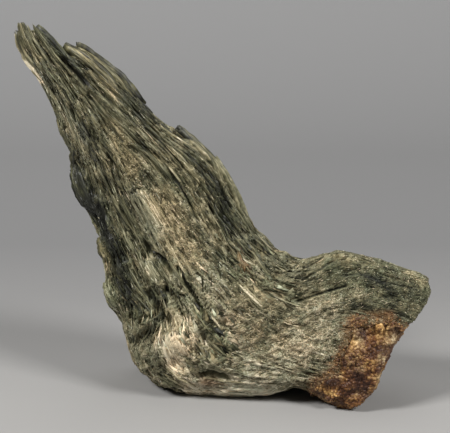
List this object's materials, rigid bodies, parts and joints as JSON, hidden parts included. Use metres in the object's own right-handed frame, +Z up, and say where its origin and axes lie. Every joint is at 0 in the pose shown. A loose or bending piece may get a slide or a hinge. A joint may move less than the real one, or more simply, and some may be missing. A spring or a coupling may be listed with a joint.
{
  "type": "actinolite with andradite specimen",
  "caption": "Free-standing mineral specimen: a boot-shaped mass of bladed, folded actinolite that tapers to a splintered tip, with granular andradite garnet at its foot.",
  "frame": {"origin": "on the flat resting face under the heel, where the row meets the floor", "axes": "+Z up, away from the resting face; +X along the foot, from the heel to the broken end with the andradite; +Y to the back, so the side seen in the picture faces -Y"},
  "size_m": [0.1647, 0.0563, 0.1539],
  "materials": {
    "actinolite": "dark grey-green fibrous blades with a silky sheen, felted and tan where weathered",
    "andradite": "granular red-brown to orange-brown crystals, glassy to dull"
  },
  "bodies": {
    "root": {"actinolite": "actinolite", "andradite": "andradite"}
  },
  "joints": []
}
